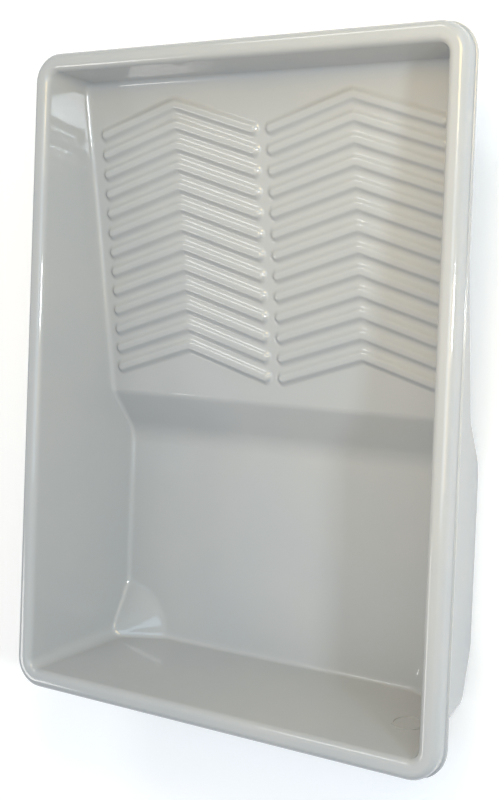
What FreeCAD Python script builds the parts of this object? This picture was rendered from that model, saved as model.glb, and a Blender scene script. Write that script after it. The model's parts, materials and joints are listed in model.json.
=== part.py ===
"""Paint roller tray: a ribbed ramp that runs down into a deep well, with a rounded rim all round.

The real tray is one moulding. Here it is split along its natural lines (rim, walls, ramp, ribs, step,
well floor, corners, feet) into regions that meet face to face, each one a node of its own.

Frame: X across the tray, Y along it with the well at -Y and the shallow end at +Y, Z up.
Origin: the middle of the outline, on the surface that the tray rests on. Units: millimetres.
"""
import FreeCAD, Part
import math
import os
import Sketcher

# Driving dimensions: alias, value, meaning.
DIMENSIONS = [
    ("overall_width", 282, "outside of the rim, left to right"),
    ("overall_length", 383, "outside of the rim, well end to shallow end"),
    ("overall_height", 85, "resting surface to the crown of the rim"),
    ("wall", 1.8, "thickness of the moulding"),
    ("draft_angle", 7, "lean of the four walls, degrees"),
    ("rim_width", 12, "mouth edge to the outside of the rim"),
    ("rim_drop", 12, "crown of the rim to the lower edge of its skirt"),
    ("crown_radius", 4.5, "rounding on both sides of the crown"),
    ("lip_out", 1, "how far the skirt's lower edge stands out"),
    ("lip_height", 1.6, "height of that edge"),
    ("mouth_corner_radius", 6, "upright corners of the cavity, at the mouth"),
    ("foot_corner_radius", 9, "upright corners of the cavity, at the resting level"),
    ("ramp_head_depth", 32, "crown of the rim to the ramp's surface at the shallow end"),
    ("ramp_foot_depth", 64, "crown of the rim to the ramp's surface at the step"),
    ("step_run", 26, "length of the step in plan, from the ramp to the well floor"),
    ("rib_rows", 13, "rows of ribs; each row has one rib left and one right"),
    ("rib_pitch", 11.85, "row spacing in plan"),
    ("rib_base", 8.4, "width of a rib at the ramp's surface"),
    ("rib_top", 3.6, "width of a rib's flat top"),
    ("rib_height", 2.6, "height of a rib above the ramp"),
    ("rib_rise", 16.2, "how far a chevron's apex lies above its ends, along the ramp"),
    ("rib_gap", 12.6, "end centre of the left bank to end centre of the right bank"),
    ("rib_side_margin", 16.8, "mouth edge to the outer end centre of a rib"),
    ("rib_foot_margin", 16.4, "step edge to the first row's end centres, in plan"),
    ("rib_head_margin", 14.2, "last row's apex to the back wall, in plan"),
    ("gusset_radius", 32, "reach of the rounded facet in each front corner of the well"),
    ("gusset_height", 14, "height of that facet at the corner"),
    ("leg_width", 34, "rear foot across the tray"),
    ("leg_depth", 15, "rear foot along the tray"),
    ("leg_spacing", 130, "centre to centre of the two rear feet"),
    ("leg_inset", 25, "outside of the rim to the rear face of the feet"),
    ("mark_radius", 9, "outer radius of the round mark on the front wall"),
    ("mark_width", 1.2, "width of the mark's ring"),
    ("mark_height", 0.4, "how far the mark stands out of the wall"),
    ("mark_offset", 104, "centre plane to the centre of the mark"),
    ("mark_depth", 42, "crown of the rim down to the centre of the mark"),
]

doc = FreeCAD.newDocument("RollerTray")
sheet = doc.addObject("Spreadsheet::Sheet", "Sizes")
for row, (alias, size, meaning) in enumerate(DIMENSIONS, start=1):
    sheet.set(f"A{row}", meaning)
    sheet.set(f"B{row}", str(size))
    sheet.setAlias(f"B{row}", alias)
doc.recompute()

# Derived sizes, as expressions on the sheet's cells.
half_width = "(Sizes.overall_width / 2)"
half_length = "(Sizes.overall_length / 2)"
lean = "tan(Sizes.draft_angle * 1 deg)"
mouth_z = "(Sizes.overall_height - Sizes.crown_radius)"
mouth_x = f"({half_width} - Sizes.rim_width)"
mouth_y = f"({half_length} - Sizes.rim_width)"
foot_x = f"({mouth_x} - {lean} * {mouth_z})"
foot_y = f"({mouth_y} - {lean} * {mouth_z})"
corner_x = f"({mouth_x} - Sizes.mouth_corner_radius)"
corner_y = f"({mouth_y} - Sizes.mouth_corner_radius)"

# The floor's line, seen from the side: well floor, step foot, ramp foot, ramp head.
ramp_run = ("(Sizes.rib_foot_margin + (Sizes.rib_rows - 1) * Sizes.rib_pitch"
            " + Sizes.rib_rise + Sizes.rib_head_margin)")
ramp_head_y = f"({mouth_y} - {lean} * (Sizes.ramp_head_depth - Sizes.crown_radius))"
ramp_foot_y = f"({ramp_head_y} - {ramp_run})"
ramp_foot_z = "(Sizes.overall_height - Sizes.ramp_foot_depth)"
step_foot_y = f"({ramp_foot_y} - Sizes.step_run)"
ramp_angle = f"atan((Sizes.ramp_foot_depth - Sizes.ramp_head_depth) / {ramp_run})"
step_angle = f"atan(({ramp_foot_z} - Sizes.wall) / Sizes.step_run)"

# The same line on the underside, one wall thickness away.
bisector_angle = f"(({step_angle} + {ramp_angle}) / 2)"
ramp_foot_shift = f"(Sizes.wall / cos(({step_angle} - {ramp_angle}) / 2))"
under_step_y = f"({step_foot_y} + Sizes.wall * tan({step_angle} / 2))"
under_ramp_y = f"({ramp_foot_y} + {ramp_foot_shift} * sin({bisector_angle}))"
under_ramp_z = f"({ramp_foot_z} - {ramp_foot_shift} * cos({bisector_angle}))"
ramp_end_z = f"({ramp_foot_z} + tan({ramp_angle}) * ({half_length} - {ramp_foot_y}))"
under_end_z = f"({ramp_end_z} - Sizes.wall / cos({ramp_angle}))"

FLOOR_START = (f"-{half_length}", "Sizes.wall")
STEP_FOOT = (step_foot_y, "Sizes.wall")
RAMP_FOOT = (ramp_foot_y, ramp_foot_z)
RAMP_END = (half_length, ramp_end_z)
UNDER_FLOOR_START = (f"-{half_length}", "0")
UNDER_STEP_FOOT = (under_step_y, "0")
UNDER_RAMP_FOOT = (under_ramp_y, under_ramp_z)
UNDER_RAMP_END = (half_length, under_end_z)

ACROSS = FreeCAD.Placement(FreeCAD.Vector(), FreeCAD.Rotation(FreeCAD.Vector(1, 1, 1), 120))
FLAT = FreeCAD.Placement()
START, END, CENTRE = 1, 2, 3
QUARTER_TURN = math.pi / 2


def number(expression):
    """The present value of an expression on the sheet."""
    result = sheet.evalExpression(expression)
    return float(getattr(result, "Value", result))


def point(x, y):
    """A sketch point at the present values of two expressions."""
    return FreeCAD.Vector(number(x), number(y), 0)


def bind(sketch, constraint, expression):
    """Add a dimension to a sketch and tie it to an expression."""
    index = sketch.addConstraint(constraint)
    sketch.setExpression(f"Constraints[{index}]", expression)


def pin_point(sketch, edge, end, x, y):
    """Place one point of a sketch edge at (x, y) from the sketch's origin."""
    bind(sketch, Sketcher.Constraint("DistanceX", -1, START, edge, end, number(x)), x)
    bind(sketch, Sketcher.Constraint("DistanceY", -1, START, edge, end, number(y)), y)


def join_edges(sketch, first, first_end, second, second_end):
    """Make two edge ends meet."""
    sketch.addConstraint(Sketcher.Constraint("Coincident", first, first_end, second, second_end))


def draw_polygon(sketch, corners):
    """Closed outline through corners given as pairs of expressions."""
    count = len(corners)
    for index, corner in enumerate(corners):
        following = corners[(index + 1) % count]
        sketch.addGeometry(Part.LineSegment(point(*corner), point(*following)))
    for index, corner in enumerate(corners):
        join_edges(sketch, index, END, (index + 1) % count, START)
        pin_point(sketch, index, START, *corner)


def draw_quarter(sketch, x, y, radius, quadrant):
    """Quarter circle about (x, y), counter-clockwise from quadrant * 90 degrees; returns its index."""
    circle = Part.Circle(point(x, y), FreeCAD.Vector(0, 0, 1), number(radius))
    begin = quadrant * QUARTER_TURN
    arc = sketch.addGeometry(Part.ArcOfCircle(circle, begin, begin + QUARTER_TURN))
    pin_point(sketch, arc, CENTRE, x, y)
    bind(sketch, Sketcher.Constraint("Radius", arc, number(radius)), radius)
    level_end, plumb_end = (START, END) if quadrant % 2 == 0 else (END, START)
    sketch.addConstraint(Sketcher.Constraint("Horizontal", arc, CENTRE, arc, level_end))
    sketch.addConstraint(Sketcher.Constraint("Vertical", arc, CENTRE, arc, plumb_end))
    return arc


def link_ends(sketch, first, first_end, second, second_end):
    """Straight edge from one edge's end to another's."""
    begin = sketch.getPoint(first, first_end)
    finish = sketch.getPoint(second, second_end)
    line = sketch.addGeometry(Part.LineSegment(begin, finish))
    join_edges(sketch, first, first_end, line, START)
    join_edges(sketch, line, END, second, second_end)
    return line


def draw_rounded_rectangle(sketch, half_x, half_y, radius):
    """Rectangle about the origin with four round corners."""
    x = f"({half_x} - {radius})"
    y = f"({half_y} - {radius})"
    centres = [(x, y), (f"-{x}", y), (f"-{x}", f"-{y}"), (x, f"-{y}")]
    arcs = [draw_quarter(sketch, *centre, radius, quadrant) for quadrant, centre in enumerate(centres)]
    for index, arc in enumerate(arcs):
        link_ends(sketch, arc, END, arcs[(index + 1) % len(arcs)], START)


def free_sketch(name, placement):
    """Sketch outside any body."""
    sketch = doc.addObject("Sketcher::SketchObject", name)
    sketch.Placement = placement
    return sketch


def body_sketch(body, name, role):
    """Sketch on one of a body's own origin planes."""
    sketch = body.newObject("Sketcher::SketchObject", name)
    plane = next(item for item in body.Origin.OriginFeatures if item.Role == role)
    sketch.AttachmentSupport = [(plane, "")]
    sketch.MapMode = "FlatFace"
    return sketch


def place(item, x, y, z):
    """Tie the position of an object to three expressions."""
    item.setExpression("Placement.Base.x", x)
    item.setExpression("Placement.Base.y", y)
    item.setExpression("Placement.Base.z", z)


def prism(name, sketch, length, symmetric=False):
    """Straight extrusion of a sketch along its normal."""
    item = doc.addObject("Part::Extrusion", name)
    item.Base = sketch
    item.DirMode = "Normal"
    item.Solid = True
    item.Symmetric = symmetric
    item.setExpression("LengthFwd", length)
    return item


def combine(kind, name, base, tool):
    """Boolean of two objects: kind is Part::Cut or Part::Common."""
    item = doc.addObject(kind, name)
    item.Base = base
    item.Tool = tool
    return item


def fuse(name, items):
    """Several objects as one."""
    item = doc.addObject("Part::MultiFuse", name)
    item.Shapes = items
    return item


def tub(name, thickness):
    """Drafted block that fills the four walls' outer faces, or with no thickness their inner faces."""
    sections = []
    levels = [("Foot", foot_x, foot_y, "Sizes.foot_corner_radius", "0"),
              ("Mouth", mouth_x, mouth_y, "Sizes.mouth_corner_radius", mouth_z)]
    for level, half_x, half_y, radius, height in levels:
        sketch = free_sketch(name + level, FLAT)
        sketch.setExpression("Placement.Base.z", height)
        draw_rounded_rectangle(sketch, f"({half_x} + {thickness})", f"({half_y} + {thickness})",
                               f"({radius} + {thickness})")
        sections.append(sketch)
    loft = doc.addObject("Part::Loft", name)
    loft.Sections = sections
    loft.Solid = True
    loft.Ruled = True
    return loft


def side_prism(name, corners):
    """Prism across the whole tray whose outline is seen from the side."""
    sketch = free_sketch(name + "Outline", ACROSS)
    draw_polygon(sketch, corners)
    return prism(name, sketch, "Sizes.overall_width", symmetric=True)


def cone(name, side, apex_height):
    """Upright cone about one front corner of the well, as steep as the corner's facet."""
    item = doc.addObject("Part::Cone", name)
    item.setExpression("Radius1", f"{apex_height} * Sizes.gusset_radius / Sizes.gusset_height")
    item.Radius2 = 0
    item.setExpression("Height", apex_height)
    place(item, f"{side} * {foot_x}", f"-{foot_y}", "0")
    return item


SIDES = [("left", -1), ("right", 1)]
nodes = []


def node(item, name):
    """Name an object as one of the tray's nodes."""
    item.Label = name
    nodes.append(item)


# Building blocks that the nodes are cut from.
outer_tub = tub("OuterTub", "Sizes.wall")
cavity = tub("Cavity", "0")
under_floor = side_prism("UnderFloor", [
    UNDER_FLOOR_START, UNDER_STEP_FOOT, UNDER_RAMP_FOOT, UNDER_RAMP_END,
    (half_length, "-Sizes.wall"), (f"-{half_length}", "-Sizes.wall"),
])
facet_slope = "atan(Sizes.gusset_height / Sizes.gusset_radius)"
facet_top = "(Sizes.gusset_height + Sizes.wall)"
under_facet_top = f"({facet_top} - Sizes.wall / cos({facet_slope}))"
facets = {name: cone(f"Facet_{name}", side, facet_top) for name, side in SIDES}
under_facets = {name: cone(f"UnderFacet_{name}", side, under_facet_top) for name, side in SIDES}


# Rim: four straight runs and four corners of one rolled profile.
def draw_rim_profile(sketch):
    """Section of the rim; x runs outward from the corner's centre, y up from the top of the wall."""
    inside = "Sizes.mouth_corner_radius"
    skirt = f"({inside} + Sizes.rim_width - Sizes.lip_out)"
    crown = "Sizes.crown_radius"
    hollow = "(Sizes.crown_radius - Sizes.wall)"
    skirt_foot = "(Sizes.crown_radius - Sizes.rim_drop)"
    lip_top = f"({skirt_foot} + Sizes.lip_height)"
    lip_edge = f"({skirt} + Sizes.lip_out)"
    skirt_inside = f"({skirt} - Sizes.wall)"
    outer_crown = draw_quarter(sketch, f"({skirt} - {crown})", "0", crown, 0)
    inner_crown = draw_quarter(sketch, f"({inside} + {crown})", "0", crown, 1)
    inner_hollow = draw_quarter(sketch, f"({inside} + {crown})", "0", hollow, 1)
    outer_hollow = draw_quarter(sketch, f"({skirt} - {crown})", "0", hollow, 0)
    link_ends(sketch, outer_crown, END, inner_crown, START)
    link_ends(sketch, inner_crown, END, inner_hollow, END)
    link_ends(sketch, inner_hollow, START, outer_hollow, END)
    lower = [(skirt_inside, skirt_foot), (lip_edge, skirt_foot), (lip_edge, lip_top), (skirt, lip_top)]
    lines = [sketch.addGeometry(Part.LineSegment(point(*begin), point(*finish)))
             for begin, finish in zip(lower, lower[1:])]
    for line, begin in zip(lines, lower):
        pin_point(sketch, line, START, *begin)
    for line, following in zip(lines, lines[1:]):
        join_edges(sketch, line, END, following, START)
    pin_point(sketch, lines[-1], END, *lower[-1])
    link_ends(sketch, outer_hollow, START, lines[0], START)
    link_ends(sketch, lines[-1], END, outer_crown, START)


def rim_body(name, x, y, quarter_turns):
    """Body that holds one rim piece, turned about the centre of the rim corner where it starts."""
    body = doc.addObject("PartDesign::Body", name.title().replace("_", ""))
    body.Placement.Rotation = FreeCAD.Rotation(FreeCAD.Vector(0, 0, 1), 90 * quarter_turns)
    place(body, x, y, mouth_z)
    sketch = body_sketch(body, body.Name + "Profile", "XZ_Plane")
    draw_rim_profile(sketch)
    return body, sketch


def rim_run(name, x, y, quarter_turns, length):
    """Straight run of the rim."""
    body, sketch = rim_body(name, x, y, quarter_turns)
    pad = body.newObject("PartDesign::Pad", body.Name + "Pad")
    pad.Profile = sketch
    pad.Reversed = True
    pad.setExpression("Length", length)
    node(body, name)


def rim_corner(name, x, y, quarter_turns):
    """Quarter turn of the rim."""
    body, sketch = rim_body(name, x, y, quarter_turns)
    turn = body.newObject("PartDesign::Revolution", body.Name + "Turn")
    turn.Profile = sketch
    turn.ReferenceAxis = (sketch, ["V_Axis"])
    turn.Angle = 90
    node(body, name)


rim_run("rim_right", corner_x, f"-{corner_y}", 0, f"2 * {corner_y}")
rim_run("rim_back", corner_x, corner_y, 1, f"2 * {corner_x}")
rim_run("rim_left", f"-{corner_x}", corner_y, 2, f"2 * {corner_y}")
rim_run("rim_front", f"-{corner_x}", f"-{corner_y}", 3, f"2 * {corner_x}")
rim_corner("rim_corner_back_right", corner_x, corner_y, 0)
rim_corner("rim_corner_back_left", f"-{corner_x}", corner_y, 1)
rim_corner("rim_corner_front_left", f"-{corner_x}", f"-{corner_y}", 2)
rim_corner("rim_corner_front_right", corner_x, f"-{corner_y}", 3)


# Walls: the drafted ring, cut off under the floor and mitred at the corners.
ring = combine("Part::Cut", "WallRing", outer_tub, cavity)
footed_ring = combine("Part::Cut", "FootedRing", ring, under_floor)
facet_hollows = fuse("UnderFacets", list(under_facets.values()))
trimmed_ring = combine("Part::Cut", "TrimmedRing", footed_ring, facet_hollows)
mitre_front = ("0", f"({half_width} - {half_length})")
mitre_back = ("0", f"({half_length} - {half_width})")
front_left = (f"-{half_width}", f"-{half_length}")
front_right = (half_width, f"-{half_length}")
back_left = (f"-{half_width}", half_length)
back_right = (half_width, half_length)
WALL_PLANS = [
    ("wall_front", [front_left, front_right, mitre_front]),
    ("wall_right", [front_right, back_right, mitre_back, mitre_front]),
    ("wall_back", [back_right, back_left, mitre_back]),
    ("wall_left", [back_left, front_left, mitre_front, mitre_back]),
]
for wall_name, plan in WALL_PLANS:
    plan_sketch = free_sketch(wall_name + "_plan", FLAT)
    draw_polygon(plan_sketch, plan)
    region = prism(wall_name + "_region", plan_sketch, "Sizes.overall_height")
    node(combine("Part::Common", wall_name + "_cut", trimmed_ring, region), wall_name)


# Well floor and step: bands of the floor line inside the cavity.
floor_band = side_prism("FloorBand", [FLOOR_START, STEP_FOOT, UNDER_STEP_FOOT, UNDER_FLOOR_START])
floor_blank = combine("Part::Common", "FloorBlank", cavity, floor_band)
facet_blocks = fuse("Facets", list(facets.values()))
node(combine("Part::Cut", "WellFloor", floor_blank, facet_blocks), "well_floor")
step_band = side_prism("StepBand", [STEP_FOOT, RAMP_FOOT, UNDER_RAMP_FOOT, UNDER_STEP_FOOT])
node(combine("Part::Common", "Step", cavity, step_band), "step_panel")

# Facets that round off the well's two front corners.
for side_name, side in SIDES:
    shell = combine("Part::Cut", f"FacetShell_{side_name}", facets[side_name], under_facets[side_name])
    node(combine("Part::Common", f"CornerFacet_{side_name}", cavity, shell), f"well_corner_{side_name}")


# Ribs: chevrons with round ends, hollow underneath like the rest of the moulding.
bank_half = f"(({mouth_x} - Sizes.rib_side_margin - Sizes.rib_gap / 2) / 2)"
bank_centre = f"(Sizes.rib_gap / 2 + {bank_half})"
arm_cosine = f"cos(atan(Sizes.rib_rise / {bank_half}))"
flank_angle = "atan((Sizes.rib_base - Sizes.rib_top) / 2 / Sizes.rib_height)"
groove_half = (f"(Sizes.rib_base / 2 + Sizes.wall * tan({flank_angle})"
               f" - Sizes.wall / cos({flank_angle}))")


def draw_chevron(sketch, half_width_of_rib):
    """Outline of a chevron about the bank's centre line, its end centres on the sketch's x axis."""
    ends = []
    for side in (-1, 1):
        centre = (f"{side} * {bank_half}", "0")
        circle = Part.Circle(point(*centre), FreeCAD.Vector(0, 0, 1), number(half_width_of_rib))
        begin = -side * (QUARTER_TURN + math.atan(number("Sizes.rib_rise") / number(bank_half)))
        arc = sketch.addGeometry(Part.ArcOfCircle(circle, begin, begin + 2 * QUARTER_TURN))
        pin_point(sketch, arc, CENTRE, *centre)
        bind(sketch, Sketcher.Constraint("Radius", arc, number(half_width_of_rib)), half_width_of_rib)
        ends.append(arc)
    left_end, right_end = ends
    upper = ("0", f"(Sizes.rib_rise + {half_width_of_rib} / {arm_cosine})")
    lower = ("0", f"(Sizes.rib_rise - {half_width_of_rib} / {arm_cosine})")
    for apex, left_point, right_point in ((upper, START, END), (lower, END, START)):
        arm_start = sketch.getPoint(left_end, left_point)
        arm_end = sketch.getPoint(right_end, right_point)
        left_arm = sketch.addGeometry(Part.LineSegment(arm_start, point(*apex)))
        right_arm = sketch.addGeometry(Part.LineSegment(point(*apex), arm_end))
        sketch.addConstraint(Sketcher.Constraint("Tangent", left_arm, START, left_end, left_point))
        sketch.addConstraint(Sketcher.Constraint("Tangent", right_arm, END, right_end, right_point))
        join_edges(sketch, left_arm, END, right_arm, START)
        pin_point(sketch, left_arm, END, *apex)


def chevron(name, side, row, half_width_of_rib, height, start_height):
    """Tapered chevron on the ramp: it starts at start_height from the ramp's surface and narrows upward."""
    body = doc.addObject("PartDesign::Body", name)
    sketch = body_sketch(body, name + "Outline", "XY_Plane")
    draw_chevron(sketch, half_width_of_rib)
    pad = body.newObject("PartDesign::Pad", name + "Pad")
    pad.Profile = sketch
    pad.setExpression("Length", height)
    pad.setExpression("TaperAngle", f"-{flank_angle}")
    body.Placement.Rotation = FreeCAD.Rotation(FreeCAD.Vector(1, 0, 0), 1)
    body.setExpression("Placement.Rotation.Angle", ramp_angle)
    along = f"(Sizes.rib_foot_margin + {row} * Sizes.rib_pitch)"
    place(body, f"{side} * {bank_centre}",
          f"{ramp_foot_y} + {along} - {start_height} * sin({ramp_angle})",
          f"{ramp_foot_z} + {along} * tan({ramp_angle}) + {start_height} * cos({ramp_angle})")
    return body


grooves = []
for side_name, side in SIDES:
    for row in range(round(number("Sizes.rib_rows"))):
        tag = f"{side_name}_{row + 1:02d}"
        ridge = chevron(f"Ridge_{tag}", side, row, "(Sizes.rib_base / 2)", "Sizes.rib_height", "0")
        groove = chevron(f"Groove_{tag}", side, row, groove_half, "Sizes.rib_height", "(-Sizes.wall)")
        node(combine("Part::Cut", f"Rib_{tag}", ridge, groove), f"rib_{tag}")
        grooves.append(groove)

ramp_band = side_prism("RampBand", [RAMP_FOOT, RAMP_END, UNDER_RAMP_END, UNDER_RAMP_FOOT])
ramp_blank = combine("Part::Common", "RampBlank", cavity, ramp_band)
node(combine("Part::Cut", "RampPanel", ramp_blank, fuse("Grooves", grooves)), "ramp_panel")


# Rear feet: channels, open towards the well, that carry the shallow end.
leg_rear = f"({half_length} - Sizes.leg_inset)"
leg_front = f"({leg_rear} - Sizes.leg_depth)"
leg_half = "(Sizes.leg_width / 2)"
web_half = "(Sizes.leg_width / 2 - Sizes.wall)"
web_face = f"({leg_rear} - Sizes.wall)"
for side_name, side in SIDES:
    leg_plan = free_sketch(f"LegPlan_{side_name}", FLAT)
    draw_polygon(leg_plan, [
        (f"-{leg_half}", leg_rear), (f"-{leg_half}", leg_front), (f"-{web_half}", leg_front),
        (f"-{web_half}", web_face), (web_half, web_face), (web_half, leg_front),
        (leg_half, leg_front), (leg_half, leg_rear),
    ])
    leg_plan.setExpression("Placement.Base.x", f"{side} * Sizes.leg_spacing / 2")
    channel = prism(f"LegChannel_{side_name}", leg_plan, "Sizes.overall_height")
    node(combine("Part::Common", f"Leg_{side_name}", channel, under_floor), f"rear_foot_{side_name}")


# Round mark on the inside of the front wall.
mark = doc.addObject("PartDesign::Body", "RoundMark")
mark.Placement.Rotation = FreeCAD.Rotation(FreeCAD.Vector(1, 0, 0), 1)
mark.setExpression("Placement.Rotation.Angle", "Sizes.draft_angle")
place(mark, "Sizes.mark_offset",
      f"-{mouth_y} + {lean} * (Sizes.mark_depth - Sizes.crown_radius)",
      "Sizes.overall_height - Sizes.mark_depth")
ring_sketch = body_sketch(mark, "MarkRing", "XZ_Plane")
for mark_edge in ("Sizes.mark_radius", "(Sizes.mark_radius - Sizes.mark_width)"):
    circle = Part.Circle(point("0", "0"), FreeCAD.Vector(0, 0, 1), number(mark_edge))
    edge = ring_sketch.addGeometry(circle)
    join_edges(ring_sketch, edge, CENTRE, -1, START)
    bind(ring_sketch, Sketcher.Constraint("Radius", edge, number(mark_edge)), mark_edge)
mark_pad = mark.newObject("PartDesign::Pad", "MarkPad")
mark_pad.Profile = ring_sketch
mark_pad.Reversed = True
mark_pad.setExpression("Length", "Sizes.mark_height")
node(mark, "round_mark")

doc.recompute()

for item in doc.Objects:
    if "Invalid" in item.State or "Error" in item.State:
        raise RuntimeError(f"{item.Name} failed: {item.State}")
os.makedirs("parts", exist_ok=True)
for item in nodes:
    if item.Shape.isNull() or not item.Shape.isValid():
        raise RuntimeError(f"{item.Label} has no valid shape")
    item.Shape.exportStep(f"parts/{item.Label}.step")
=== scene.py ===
"""The look of the paint roller tray: one glossy off-white moulding, lying on a pale floor.

The moulding is drawn as two skins, the inside and the underside, on one grid. The grid has a field
of rows and columns over well, step and ramp, and a band that goes round the field and up over the
rim. Each piece takes the cells of one CAD node from both skins and is closed along its cut edges.
All pieces take their normals from the whole moulding, so no seam shows between them.

Units: metres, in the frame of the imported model. X across, Y from the well to the shallow end, Z up.
"""
import json
import math
from collections import namedtuple

import bpy
import numpy as np
from mathutils import Matrix, Vector

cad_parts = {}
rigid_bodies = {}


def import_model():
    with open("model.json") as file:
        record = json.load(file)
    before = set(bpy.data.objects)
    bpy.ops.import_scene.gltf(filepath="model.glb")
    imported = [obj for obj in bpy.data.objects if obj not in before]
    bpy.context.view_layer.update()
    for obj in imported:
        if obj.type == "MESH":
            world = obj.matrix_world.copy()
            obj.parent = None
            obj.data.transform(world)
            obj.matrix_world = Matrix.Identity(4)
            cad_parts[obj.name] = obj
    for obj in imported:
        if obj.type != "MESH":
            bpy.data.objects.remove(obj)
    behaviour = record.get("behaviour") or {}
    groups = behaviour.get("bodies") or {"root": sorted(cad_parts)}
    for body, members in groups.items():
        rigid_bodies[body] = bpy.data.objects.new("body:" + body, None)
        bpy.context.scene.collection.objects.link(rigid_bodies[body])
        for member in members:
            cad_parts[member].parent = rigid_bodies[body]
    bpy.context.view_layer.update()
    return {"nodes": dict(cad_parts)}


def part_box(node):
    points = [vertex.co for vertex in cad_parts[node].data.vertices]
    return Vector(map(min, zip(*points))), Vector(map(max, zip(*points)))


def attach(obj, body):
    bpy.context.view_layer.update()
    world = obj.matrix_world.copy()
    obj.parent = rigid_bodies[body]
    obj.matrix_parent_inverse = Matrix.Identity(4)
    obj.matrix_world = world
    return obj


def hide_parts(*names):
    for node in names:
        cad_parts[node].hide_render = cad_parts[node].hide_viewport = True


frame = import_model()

MM = 0.001
BODY = "root"

# ---------------------------------------------------------------- sizes, from the frame

rim_low, rim_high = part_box("rim_right")
back_rim_low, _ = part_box("rim_back")
_, floor_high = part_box("well_floor")
step_low, step_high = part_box("step_panel")
ramp_low, ramp_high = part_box("ramp_panel")
_, wall_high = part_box("wall_left")
first_rib_low, first_rib_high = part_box("rib_right_01")
second_rib_low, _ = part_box("rib_right_02")

WALL = floor_high.z
RIM_TOP = rim_high.z
RIM_FOOT = rim_low.z
RIM_WIDTH = rim_high.x - rim_low.x
MOUTH_X = rim_low.x
MOUTH_Y = back_rim_low.y
MOUTH_Z = wall_high.z
MOUTH_RADIUS = MOUTH_Y - rim_high.y
CROWN = RIM_TOP - MOUTH_Z
LEAN = (MOUTH_X - step_high.x) / (MOUTH_Z - step_high.z)
FLOOR_X = MOUTH_X - LEAN * MOUTH_Z
FLOOR_Y = MOUTH_Y - LEAN * MOUTH_Z

STEP_FOOT_Y = step_low.y
RAMP_FOOT_Y = ramp_low.y
STEP_SLOPE = (step_high.z - WALL) / (RAMP_FOOT_Y - STEP_FOOT_Y)
RAMP_SLOPE = (ramp_high.z - step_high.z) / (ramp_high.y - RAMP_FOOT_Y)
STEP_ANGLE = math.atan(STEP_SLOPE)
RAMP_ANGLE = math.atan(RAMP_SLOPE)

# Sizes of the moulding's section, as in the CAD.
LIP_OUT = 1.0 * MM
LIP_HEIGHT = 1.6 * MM
FOOT_RADIUS = 9 * MM
RIB_ROWS = 13
RIB_RISE = 16.2 * MM
RIB_HALF_BASE = 4.2 * MM
RIB_HALF_TOP = 1.8 * MM
RIB_HEIGHT = 2.6 * MM
RIB_FOOT_MARGIN = 16.4 * MM
FACET_REACH = 32 * MM
FACET_HEIGHT = 14 * MM

# Soft edges of the real moulding, which the CAD leaves plain.
RIB_EDGE = 1.1 * MM
RIB_FOOT_BLEND = 1.6 * MM
RIB_APEX_BLEND = 1.6 * MM
FACET_BLEND = 1.0 * MM
STEP_TOP_BLEND = 2.2 * MM
STEP_FOOT_BLEND = 7 * MM
WALL_FILLET = 3.2 * MM
LIP_ROUND = 0.4 * MM

RIB_PITCH = second_rib_low.y - first_rib_low.y
RIB_INNER = first_rib_low.x + RIB_HALF_BASE
RIB_OUTER = first_rib_high.x - RIB_HALF_BASE
RIB_APEX = (RIB_INNER + RIB_OUTER) / 2
RIB_HALF_SPAN = (RIB_OUTER - RIB_INNER) / 2
FIRST_ROW = RAMP_FOOT_Y + RIB_FOOT_MARGIN
RAMP_COS = math.cos(RAMP_ANGLE)
ROW_ACROSS = RAMP_COS / math.cos(math.atan(RIB_RISE / RIB_HALF_SPAN))

# ---------------------------------------------------------------- the grid's stations
# The field ends short of the fillet along the walls: at FIELD_EDGE beside the ramp, and at that times
# WELL_SHARE beside the well, which is narrower.

FIELD_EDGE = 116.8 * MM
WELL_SHARE = 113.2 / 116.8
FIELD_FRONT = -163 * MM
FIELD_BACK = 170.8 * MM
RIB_STATIONS = [place * MM for place in (0.5, 0.9, 1.3, 1.7, 2.1, 2.5, 3.0, 3.6, 4.2, 4.8, 5.4)]
FACET_STEP = 1.7 * MM
TIP_STEP = 0.6 * MM
END_STEP = 0.55 * MM
END_ZONE = 5.3 * MM
TIP_ZONE = 4.8 * MM
FACET_ROOM = 4 * MM
ARC_STEPS = 10
BAND_STEPS = 4
FILLET_STEPS = 7
WALL_STEPS = 3
CROWN_STEPS = 8, 10
SKIRT_STEPS = 9
LIP_STEPS = 3, 2
LEVEL_PASSES = 6
CHEVRON_KNOTS = [-1, -0.08, -0.05, -0.025, 0, 0.025, 0.05, 0.08, 1]


def stretch(start, end, step):
    """Evenly spaced places from start up to end, without end itself."""
    count = max(1, math.ceil((end - start) / step))
    return list(np.linspace(start, end, count, endpoint=False))


def row_places():
    """Places of the field's rows along Y, measured where no rib shifts them."""
    facet_end = -FLOOR_Y + FACET_REACH + FACET_ROOM
    foot_start, foot_end = STEP_FOOT_Y - STEP_FOOT_BLEND, STEP_FOOT_Y + STEP_FOOT_BLEND
    top_start, top_end = RAMP_FOOT_Y - STEP_TOP_BLEND, RAMP_FOOT_Y + STEP_TOP_BLEND
    offsets = [station * ROW_ACROSS for station in RIB_STATIONS]
    rows = stretch(FIELD_FRONT, facet_end, FACET_STEP)
    rows += stretch(facet_end, foot_start, 12 * MM)
    rows += stretch(foot_start, foot_end, STEP_FOOT_BLEND / 4)
    rows += stretch(foot_end, top_start, 4 * MM)
    rows += stretch(top_start, top_end, STEP_TOP_BLEND / 3)
    rows += stretch(top_end, FIRST_ROW - offsets[-1], 3 * MM)
    for row in range(RIB_ROWS):
        centre = FIRST_ROW + row * RIB_PITCH
        rows += [centre - offset for offset in reversed(offsets)] + [centre]
        rows += [centre + offset for offset in offsets]
    return np.array(rows + stretch(rows[-1], FIELD_BACK, 4 * MM)[1:] + [FIELD_BACK])


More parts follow.
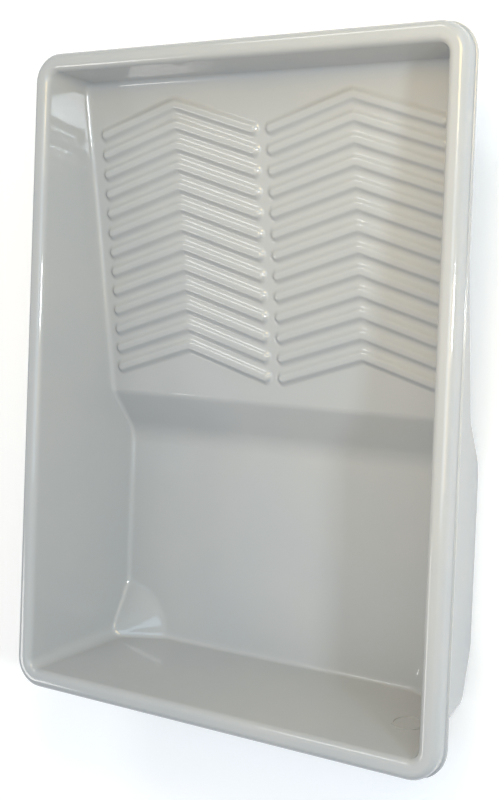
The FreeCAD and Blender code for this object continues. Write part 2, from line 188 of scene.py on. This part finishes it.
def column_places():
    """Places of the field's columns along X, the same on both sides."""
    facet_start = FLOOR_X - FACET_REACH - FACET_ROOM
    half = stretch(0, RIB_INNER - END_ZONE, 2 * MM)
    half += stretch(RIB_INNER - END_ZONE, RIB_INNER, END_STEP)
    half += stretch(RIB_INNER, RIB_APEX - TIP_ZONE, 8 * MM)
    half += stretch(RIB_APEX - TIP_ZONE, RIB_APEX, TIP_STEP)
    half += stretch(RIB_APEX, RIB_APEX + TIP_ZONE, TIP_STEP)
    half += stretch(RIB_APEX + TIP_ZONE, facet_start, 7 * MM)
    half += stretch(facet_start, RIB_OUTER, FACET_STEP)
    half += stretch(RIB_OUTER, FIELD_EDGE, END_STEP) + [FIELD_EDGE]
    half = np.array(half)
    return np.concatenate([-half[:0:-1], half])


# ---------------------------------------------------------------- the two skins

Skin = namedtuple("Skin", "outward floor_z step_y ramp_y fillet half_base half_top facet_z crown")


def make_skins():
    """The inside of the moulding, and the underside that runs parallel to it one wall below."""
    bisector = (STEP_ANGLE + RAMP_ANGLE) / 2
    bend_shift = WALL / math.cos((STEP_ANGLE - RAMP_ANGLE) / 2)
    rib_flank = math.atan((RIB_HALF_BASE - RIB_HALF_TOP) / RIB_HEIGHT)
    groove_loss = WALL / math.cos(rib_flank) - WALL * math.tan(rib_flank)
    facet_drop = WALL / math.cos(math.atan(FACET_HEIGHT / FACET_REACH))
    inside = Skin(0, WALL, STEP_FOOT_Y, RAMP_FOOT_Y, WALL_FILLET, RIB_HALF_BASE, RIB_HALF_TOP,
                  WALL + FACET_HEIGHT, CROWN)
    underside = Skin(WALL, 0, STEP_FOOT_Y + WALL * math.tan(STEP_ANGLE / 2),
                     RAMP_FOOT_Y + bend_shift * math.sin(bisector), WALL_FILLET + WALL,
                     RIB_HALF_BASE - groove_loss, RIB_HALF_TOP - groove_loss,
                     WALL + FACET_HEIGHT - facet_drop, CROWN - WALL)
    return inside, underside


def blend_max(a, b, width):
    """The larger of two values, with a rounded change from one to the other."""
    near = np.maximum(width - np.abs(a - b), 0)
    return np.maximum(a, b) + near * near / (4 * width)


def blend_min(a, b, width):
    """The smaller of two values, with a rounded change from one to the other."""
    return -blend_max(-a, -b, width)


def bend(y, bend_y, slope_change, reach):
    """Height added past bend_y by a change of slope that is spread over reach on both sides."""
    curved = np.clip(y - bend_y + reach, 0, 2 * reach)
    return slope_change * (curved * curved / (4 * reach) + np.maximum(y - bend_y - reach, 0))


def corner_distance(x, y):
    """Distance in plan from the nearer corner of the well's front."""
    return np.hypot(np.abs(x) - FLOOR_X, y + FLOOR_Y)


def floor_height(skin, x, y):
    """Height of a skin over well, step and ramp, without the ribs."""
    base = skin.floor_z + bend(y, skin.step_y, STEP_SLOPE, STEP_FOOT_BLEND)
    base = base + bend(y, skin.ramp_y, RAMP_SLOPE - STEP_SLOPE, STEP_TOP_BLEND)
    facet = skin.facet_z - FACET_HEIGHT * corner_distance(x, y) / FACET_REACH
    return blend_max(base, facet, FACET_BLEND)


def rib_rise(x):
    """How far a rib's centre line has risen along the ramp above its ends."""
    across = np.abs(np.abs(x) - RIB_APEX)
    soft = np.hypot(across, RIB_APEX_BLEND) - RIB_APEX_BLEND * (1 - across / RIB_HALF_SPAN)
    return np.maximum(RIB_RISE * (1 - soft / RIB_HALF_SPAN), 0)


def rib_distance(x, y):
    """Distance on the ramp from each point to the centre line of the rib beside it."""
    row = np.clip(np.round((y - FIRST_ROW - rib_rise(x) * RAMP_COS) / RIB_PITCH), 0, RIB_ROWS - 1)
    across = np.abs(x) - RIB_APEX
    along = (y - FIRST_ROW - row * RIB_PITCH) / RAMP_COS
    knots = np.array(CHEVRON_KNOTS) * RIB_HALF_SPAN
    heights = rib_rise(knots + RIB_APEX)
    nearest = np.full(np.shape(x), np.inf)
    for x0, x1, y0, y1 in zip(knots, knots[1:], heights, heights[1:]):
        share = (across - x0) * (x1 - x0) + (along - y0) * (y1 - y0)
        share = np.clip(share / ((x1 - x0) ** 2 + (y1 - y0) ** 2), 0, 1)
        gap = np.hypot(across - x0 - share * (x1 - x0), along - y0 - share * (y1 - y0))
        nearest = np.minimum(nearest, gap)
    return nearest, row.astype(int)


def floor_points(skin, x, y):
    """Points of a skin over well, step and ramp, with the ribs."""
    distance, _ = rib_distance(x, y)
    flank = RIB_HEIGHT * (skin.half_base - distance) / (skin.half_base - skin.half_top)
    height = blend_max(blend_min(flank, RIB_HEIGHT, RIB_EDGE), 0, RIB_FOOT_BLEND)
    z = floor_height(skin, x, y)
    points = [x, y - height * math.sin(RAMP_ANGLE), z + height * RAMP_COS]
    return np.stack(points, axis=-1)


# ---------------------------------------------------------------- the grid

Field = namedtuple("Field", "x y ids")
Ring = namedtuple("Ring", "share_x share_y normal_x normal_y start on_arc")


def make_field():
    """Plan places of the field's vertices: rows bent to the ribs, columns drawn in over the well."""
    rows, columns = np.meshgrid(row_places(), column_places(), indexing="ij")
    first = FIRST_ROW - RIB_STATIONS[-1] * ROW_ACROSS
    last = FIRST_ROW + (RIB_ROWS - 1) * RIB_PITCH + RIB_STATIONS[-1] * ROW_ACROSS
    bent = np.interp(rows, [RAMP_FOOT_Y + STEP_TOP_BLEND, first, last, FIELD_BACK], [0, 1, 1, 0])
    share = np.interp(rows, [STEP_FOOT_Y - STEP_FOOT_BLEND, RAMP_FOOT_Y], [WELL_SHARE, 1])
    x = columns * share
    y = rows + bent * rib_rise(columns) * RAMP_COS
    return Field(x, y, np.arange(x.size).reshape(x.shape))


def make_ring(field):
    """Stations round the field, counter-clockwise from its front left corner."""
    across = column_places() / FIELD_EDGE
    edge_y = field.y[:, -1]
    edge_z = floor_height(make_skins()[0], field.x[:, -1], edge_y)
    corner_lean = LEAN + (FOOT_RADIUS - MOUTH_RADIUS) / MOUTH_Z
    along = edge_y / (FLOOR_Y - FOOT_RADIUS + corner_lean * edge_z)
    along = np.where(along < 0, along / -along[0], along / along[-1])
    sides = [(across, -1, 0, -1, field.ids[0]), (1, along, 1, 0, field.ids[:, -1]),
             (across[::-1], 1, 0, 1, field.ids[-1, ::-1]), (-1, along[::-1], -1, 0, field.ids[::-1, 0])]
    stations = []
    for side, (share_x, share_y, normal_x, normal_y, ids) in enumerate(sides):
        flat = np.ones(len(ids))
        stations.append((share_x * flat, share_y * flat, normal_x * flat, normal_y * flat, ids, 0 * flat))
        turn = (np.arange(1, ARC_STEPS) / ARC_STEPS + side - 1) * math.pi / 2
        flat = np.ones(len(turn))
        corner_x, corner_y = (1, 1, -1, -1)[side], (-1, 1, 1, -1)[side]
        stations.append((corner_x * flat, corner_y * flat, np.cos(turn), np.sin(turn),
                         np.full(len(turn), ids[-1]), flat))
    return Ring(*(np.concatenate(parts) for parts in zip(*stations)))


def wall_place(ring, level, outward):
    """Plan place of each station where the wall's inside is at this level, moved outward."""
    radius = FOOT_RADIUS - (FOOT_RADIUS - MOUTH_RADIUS) * level / MOUTH_Z
    x = ring.share_x * (FLOOR_X + LEAN * level - radius) + (radius + outward) * ring.normal_x
    y = ring.share_y * (FLOOR_Y + LEAN * level - radius) + (radius + outward) * ring.normal_y
    return x, y


def above_floor(skin, ring, outward, height):
    """Points at a given height over the floor, level with a wall that stands on that floor."""
    level = np.zeros(len(ring.start))
    for _ in range(LEVEL_PASSES):
        x, y = wall_place(ring, level, outward)
        level = floor_height(skin, x, y) + height
    return np.stack([x, y, level], axis=-1)


def turn_points(centre, radius, start, end, steps):
    """Points of an arc in the rim's section, angles in degrees, without the first one."""
    angles = np.radians(np.linspace(start, end, steps + 1)[1:])
    return [(centre[0] + radius * math.cos(a), centre[1] + radius * math.sin(a)) for a in angles]


def rim_section(skin):
    """Section of the rim from the mouth to the lip: distance outward from the mouth, and height."""
    outer = RIM_WIDTH - LIP_OUT - CROWN
    section = turn_points((CROWN, MOUTH_Z), skin.crown, 180, 90, CROWN_STEPS[0])
    section += [(outer, MOUTH_Z + skin.crown)]
    section += turn_points((outer, MOUTH_Z), skin.crown, 90, 0, CROWN_STEPS[1])
    skirt = outer + skin.crown
    lip_top = RIM_FOOT + LIP_HEIGHT
    section += [(skirt, (MOUTH_Z + lip_top) / 2), (skirt, lip_top + LIP_ROUND)]
    if skin.outward:
        return section + [(skirt, z) for z in np.linspace(lip_top, RIM_FOOT, SKIRT_STEPS)]
    edge = RIM_WIDTH - LIP_ROUND
    section += turn_points((skirt + LIP_ROUND, lip_top + LIP_ROUND), LIP_ROUND, 180, 270, LIP_STEPS[1])
    section += [(edge, lip_top)]
    section += turn_points((edge, lip_top - LIP_ROUND), LIP_ROUND, 90, 0, LIP_STEPS[0])
    section += [(RIM_WIDTH, RIM_FOOT + LIP_ROUND)]
    return section + turn_points((edge, RIM_FOOT + LIP_ROUND), LIP_ROUND, 0, -90, LIP_STEPS[1])


def skin_points(skin, field, ring):
    """All vertices of one skin: the field row by row, then the ring's levels from the field outward."""
    points = [floor_points(skin, field.x, field.y).reshape(-1, 3)]
    start_x, start_y = field.x.ravel()[ring.start], field.y.ravel()[ring.start]
    edge = above_floor(skin, ring, skin.outward - skin.fillet, 0)
    for share in np.arange(1, BAND_STEPS + 1) / BAND_STEPS:
        x = start_x + (edge[:, 0] - start_x) * share
        y = start_y + (edge[:, 1] - start_y) * share
        points.append(floor_points(skin, x, y))
    for share in np.arange(1, FILLET_STEPS + 1) / FILLET_STEPS:
        outward = skin.outward - skin.fillet * (1 - share) ** 2
        points.append(above_floor(skin, ring, outward, skin.fillet * share ** 2))
    foot = points[-1][:, 2]
    for share in np.arange(1, WALL_STEPS + 1) / WALL_STEPS:
        level = foot + (MOUTH_Z - foot) * share
        x, y = wall_place(ring, level, skin.outward)
        points.append(np.stack([x, y, level], axis=-1))
    for outward, height in rim_section(skin):
        x, y = wall_place(ring, MOUTH_Z, outward)
        points.append(np.stack([x, y, np.full(len(x), height)], axis=-1))
    return np.concatenate(points)


def field_cells(field):
    """Corner vertices of the field's cells, counter-clockwise seen from above."""
    ids = field.ids
    return np.stack([ids[:-1, :-1], ids[:-1, 1:], ids[1:, 1:], ids[1:, :-1]], axis=-1).reshape(-1, 4)


def ring_cells(field, ring, level):
    """Corner vertices of the ring's cells between one level and the next; a fan cell repeats one."""
    def at(which):
        if which == 0:
            return ring.start
        return field.ids.size + (which - 1) * len(ring.start) + np.arange(len(ring.start))
    near, far = at(level), at(level + 1)
    return np.stack([near, far, np.roll(far, -1), np.roll(near, -1)], axis=-1)


# ---------------------------------------------------------------- which node a cell belongs to

def floor_names(points, cells):
    """Name of the CAD node under each cell of the floor."""
    centre = points[cells].mean(axis=1)
    x, y = centre[:, 0], centre[:, 1]
    distance, row = rib_distance(x, y)
    side = np.where(x < 0, "left", "right")
    above_step = np.where(y < RAMP_FOOT_Y, "step_panel", "ramp_panel")
    names = np.where(y < STEP_FOOT_Y, "well_floor", above_step)
    in_facet = corner_distance(x, y) < FACET_REACH
    names = np.where(in_facet, np.char.add("well_corner_", side), names)
    numbers = np.char.zfill((row + 1).astype(str), 2)
    ribs = np.char.add(np.char.add(np.char.add("rib_", side), "_"), numbers)
    return np.where(distance < RIB_HALF_BASE, ribs, names)


def side_names(ring, prefix):
    """Name of the wall or rim run that each of the ring's cells is on."""
    x = ring.normal_x + np.roll(ring.normal_x, -1)
    y = ring.normal_y + np.roll(ring.normal_y, -1)
    ends = np.where(y < 0, "front", "back")
    sides = np.where(x < 0, "left", "right")
    return np.char.add(prefix, np.where(np.abs(x) > np.abs(y), sides, ends))


def rim_names(ring):
    """Name of the rim node that each of the ring's cells is on."""
    on_corner = (ring.on_arc + np.roll(ring.on_arc, -1)) > 0
    ends = np.where(ring.share_y < 0, "rim_corner_front_", "rim_corner_back_")
    corners = np.char.add(ends, np.where(ring.share_x < 0, "left", "right"))
    return np.where(on_corner, corners, side_names(ring, "rim_"))


def named_cells(field, ring, points, levels):
    """All cells of the grid and the name of the CAD node that each stands for."""
    cells = [field_cells(field)]
    cells += [ring_cells(field, ring, level) for level in range(levels)]
    names = [floor_names(points, cells[0])]
    for level in range(levels):
        if level < BAND_STEPS:
            names.append(floor_names(points, cells[level + 1]))
        elif level < BAND_STEPS + FILLET_STEPS + WALL_STEPS:
            names.append(side_names(ring, "wall_"))
        else:
            names.append(rim_names(ring))
    return np.concatenate(cells), np.concatenate(names)


# ---------------------------------------------------------------- pieces

def vertex_normals(points, cells):
    """Area-weighted normal at each vertex of one skin."""
    corners = points[cells]
    across = np.cross(corners[:, 2] - corners[:, 0], corners[:, 3] - corners[:, 1])
    normals = np.zeros_like(points)
    for corner in range(4):
        np.add.at(normals, cells[:, corner], across)
    return normals / np.maximum(np.linalg.norm(normals, axis=1, keepdims=True), 1e-20)


def open_edges(cells):
    """Directed edges of these cells that no other of them shares."""
    edges = np.concatenate([cells[:, [side, (side + 1) % 4]] for side in range(4)])
    edges = edges[edges[:, 0] != edges[:, 1]]
    size = edges.max() + 1
    forward = edges[:, 0] * size + edges[:, 1]
    return edges[~np.isin(forward, edges[:, 1] * size + edges[:, 0])]


def without_repeats(cell):
    """A cell's corners, with a fan cell's repeated corner taken once."""
    return [corner for place, corner in enumerate(cell) if corner != cell[place - 1]]


def closed_piece(name, cells, skins, normals, material):
    """One piece of the moulding: its cells on both skins, closed along the cut edges."""
    used, local = np.unique(cells, return_inverse=True)
    local = local.reshape(cells.shape)
    below = len(used)
    tops = [without_repeats(cell) for cell in local.tolist()]
    bottoms = [[corner + below for corner in reversed(cell)] for cell in tops]
    cuts = [[b, a, a + below, b + below] for a, b in open_edges(local).tolist()]
    points = np.concatenate([skin[used] for skin in skins])
    mesh = bpy.data.meshes.new(name)
    mesh.from_pydata(points.tolist(), [], tops + bottoms + cuts)
    smooth = len(tops) + len(bottoms)
    mesh.polygons.foreach_set("use_smooth", [True] * smooth + [False] * len(cuts))
    turned = np.concatenate([normals[0][used], -normals[1][used]])
    loops = [turned[corner].tolist() for face in tops + bottoms for corner in face]
    loops += [[0, 0, 0]] * (4 * len(cuts))
    mesh.normals_split_custom_set(loops)
    mesh.materials.append(material)
    piece = bpy.data.objects.new(name, mesh)
    bpy.context.scene.collection.objects.link(piece)
    return piece


def build_moulding(material):
    """The whole moulding, piece by piece."""
    field = make_field()
    ring = make_ring(field)
    skins = [skin_points(skin, field, ring) for skin in make_skins()]
    levels = (len(skins[0]) - field.ids.size) // len(ring.start)
    cells, names = named_cells(field, ring, skins[0], levels)
    normals = [vertex_normals(points, cells) for points in skins]
    for node in np.unique(names).tolist():
        piece = closed_piece("moulded_" + node, cells[names == node], skins, normals, material)
        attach(piece, BODY)
        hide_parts(node)


# ---------------------------------------------------------------- material

def add_node(tree, kind, **values):
    """A shader node with its plain inputs set by name."""
    made = tree.nodes.new(kind)
    for key, value in values.items():
        made.inputs[key.replace("_", " ")].default_value = value
    return made


def add_noise(tree, coordinates, scale, detail, roughness):
    """Noise over the object's own coordinates; scale in features per metre."""
    noise = add_node(tree, "ShaderNodeTexNoise", Scale=scale, Detail=detail, Roughness=roughness)
    tree.links.new(coordinates.outputs["Object"], noise.inputs["Vector"])
    return noise


def add_range(tree, source, from_low, from_high, to_low, to_high):
    """The source's value carried from one range to another."""
    span = tree.nodes.new("ShaderNodeMapRange")
    span.inputs["From Min"].default_value = from_low
    span.inputs["From Max"].default_value = from_high
    span.inputs["To Min"].default_value = to_low
    span.inputs["To Max"].default_value = to_high
    tree.links.new(source, span.inputs["Value"])
    return span


def make_plastic():
    """Glossy off-white plastic: cloudy colour, scuffs in the gloss, and the skin's faint waviness."""
    material = bpy.data.materials.new("tray_plastic")
    material.use_nodes = True
    tree = material.node_tree
    shader = tree.nodes["Principled BSDF"]
    shader.inputs["IOR"].default_value = 1.5
    coordinates = tree.nodes.new("ShaderNodeTexCoord")

    clouds = add_noise(tree, coordinates, 14, 3, 0.5)
    tint = tree.nodes.new("ShaderNodeValToRGB")
    tint.color_ramp.elements[0].position = 0.35
    tint.color_ramp.elements[0].color = (0.405, 0.42, 0.432, 1)
    tint.color_ramp.elements[1].position = 0.65
    tint.color_ramp.elements[1].color = (0.425, 0.434, 0.437, 1)
    tree.links.new(clouds.outputs["Fac"], tint.inputs["Fac"])
    tree.links.new(tint.outputs["Color"], shader.inputs["Base Color"])

    scuffs = add_noise(tree, coordinates, 90, 6, 0.65)
    gloss = add_range(tree, scuffs.outputs["Fac"], 0.3, 0.75, 0.04, 0.09)
    tree.links.new(gloss.outputs["Result"], shader.inputs["Roughness"])

    waves = add_noise(tree, coordinates, 38, 2, 0.45)
    grain = add_noise(tree, coordinates, 900, 2, 0.5)
    wavy = add_node(tree, "ShaderNodeBump", Strength=0.25, Distance=0.0006)
    tree.links.new(waves.outputs["Fac"], wavy.inputs["Height"])
    fine = add_node(tree, "ShaderNodeBump", Strength=0.12, Distance=0.00006)
    tree.links.new(grain.outputs["Fac"], fine.inputs["Height"])
    tree.links.new(wavy.outputs["Normal"], fine.inputs["Normal"])
    tree.links.new(fine.outputs["Normal"], shader.inputs["Normal"])
    return material


def make_floor_material():
    """Matt near-white studio floor, lit faintly from below like a light table."""
    material = bpy.data.materials.new("studio_floor")
    material.use_nodes = True
    shader = material.node_tree.nodes["Principled BSDF"]
    shader.inputs["Base Color"].default_value = (0.97, 0.97, 0.97, 1)
    shader.inputs["Roughness"].default_value = 0.9
    shader.inputs["Specular IOR Level"].default_value = 0.1
    shader.inputs["Emission Color"].default_value = (1, 0.94, 0.88, 1)
    shader.inputs["Emission Strength"].default_value = 0.15
    return material


# ---------------------------------------------------------------- studio

def add_floor():
    """A wide pale floor under the tray."""
    bpy.ops.mesh.primitive_plane_add(size=12, location=(0, 0, 0))
    floor = bpy.context.object
    floor.name = "studio_floor"
    floor.data.materials.append(make_floor_material())


def add_light(name, aim, azimuth, elevation, distance, size, watts, colour):
    """A rectangular soft light at a distance from the point it aims at; angles in degrees from +X."""
    turn, rise = math.radians(azimuth), math.radians(elevation)
    away = Vector((math.cos(rise) * math.cos(turn), math.cos(rise) * math.sin(turn), math.sin(rise)))
    data = bpy.data.lights.new(name, "AREA")
    data.shape = "RECTANGLE"
    data.size, data.size_y = size
    data.energy = watts
    data.color = colour
    light = bpy.data.objects.new(name, data)
    light.location = Vector(aim) + away * distance
    light.rotation_euler = away.to_track_quat("Z", "Y").to_euler()
    light.visible_camera = False
    bpy.context.scene.collection.objects.link(light)


def add_lights():
    """Warm lamps at the back and over the right rim, three window-like panels, soft cool panels."""
    ribs = (RIB_APEX, 0.1, 0.045)
    add_light("warm_lamp", (0.1, 0.15, RIM_TOP), 60, 70, 0.45, (0.2, 0.2), 1.3, (1, 0.72, 0.28))
    add_light("rim_lamp", (0.135, -0.02, RIM_TOP), 5, 62, 0.27, (0.15, 0.15), 0.24, (1, 0.74, 0.38))
    add_light("window_panel", (-0.1, 0.155, 0.05), -5, 35, 1.6, (0.11, 0.15), 8.0, (0.84, 0.93, 1))
    add_light("back_window", ribs, 122, 44, 1.45, (0.6, 0.25), 3.2, (0.98, 0.99, 1))
    add_light("front_window", ribs, 210, 34, 1.45, (0.4, 0.25), 2.2, (1, 0.98, 0.95))
    add_light("front_panel", (0, -0.1, 0.05), 270, 50, 1.2, (0.9, 0.9), 0.7, (1, 0.95, 0.95))
    add_light("cool_top_panel", (-0.05, 0.04, 0.05), 0, 72, 1.0, (0.5, 0.5), 2.3, (0.6, 0.78, 1))
    add_light("cool_back_panel", (0, 0, 0.05), 45, 35, 1.2, (0.7, 0.7), 2.4, (0.4, 0.72, 1))
    world = bpy.data.worlds.new("studio")
    world.use_nodes = True
    bpy.context.scene.world = world
    surround = world.node_tree.nodes["Background"]
    surround.inputs["Color"].default_value = (0.93, 0.97, 1, 1)
    surround.inputs["Strength"].default_value = 0.42
    bpy.context.scene.view_settings.view_transform = "Standard"


def add_camera():
    """Camera beside the tray, high over its right rim, turned so that the shallow end is at the top."""
    elevation, azimuth = math.radians(56.56), math.radians(4.18)
    up_tilt = math.radians(2.58)
    target = Vector((10.6 * MM, 21.4 * MM, RIM_TOP))
    away = Vector((math.cos(elevation) * math.cos(azimuth), math.cos(elevation) * math.sin(azimuth),
                   math.sin(elevation)))
    up = Vector((-math.sin(up_tilt), math.cos(up_tilt), 0))
    right = up.cross(away).normalized()
    up = away.cross(right)
    data = bpy.data.cameras.new("camera")
    data.lens = 60.4
    data.sensor_width = 36
    data.shift_x = 0.0201
    data.shift_y = -0.0633
    camera = bpy.data.objects.new("camera", data)
    camera.matrix_world = Matrix((right, up, away)).transposed().to_4x4()
    camera.location = target + away * 728.7 * MM
    bpy.context.scene.collection.objects.link(camera)
    bpy.context.scene.camera = camera


plastic = make_plastic()
build_moulding(plastic)
for kept in ("rear_foot_left", "rear_foot_right", "round_mark"):
    frame["nodes"][kept].data.materials.clear()
    frame["nodes"][kept].data.materials.append(plastic)
add_floor()
add_lights()
add_camera()
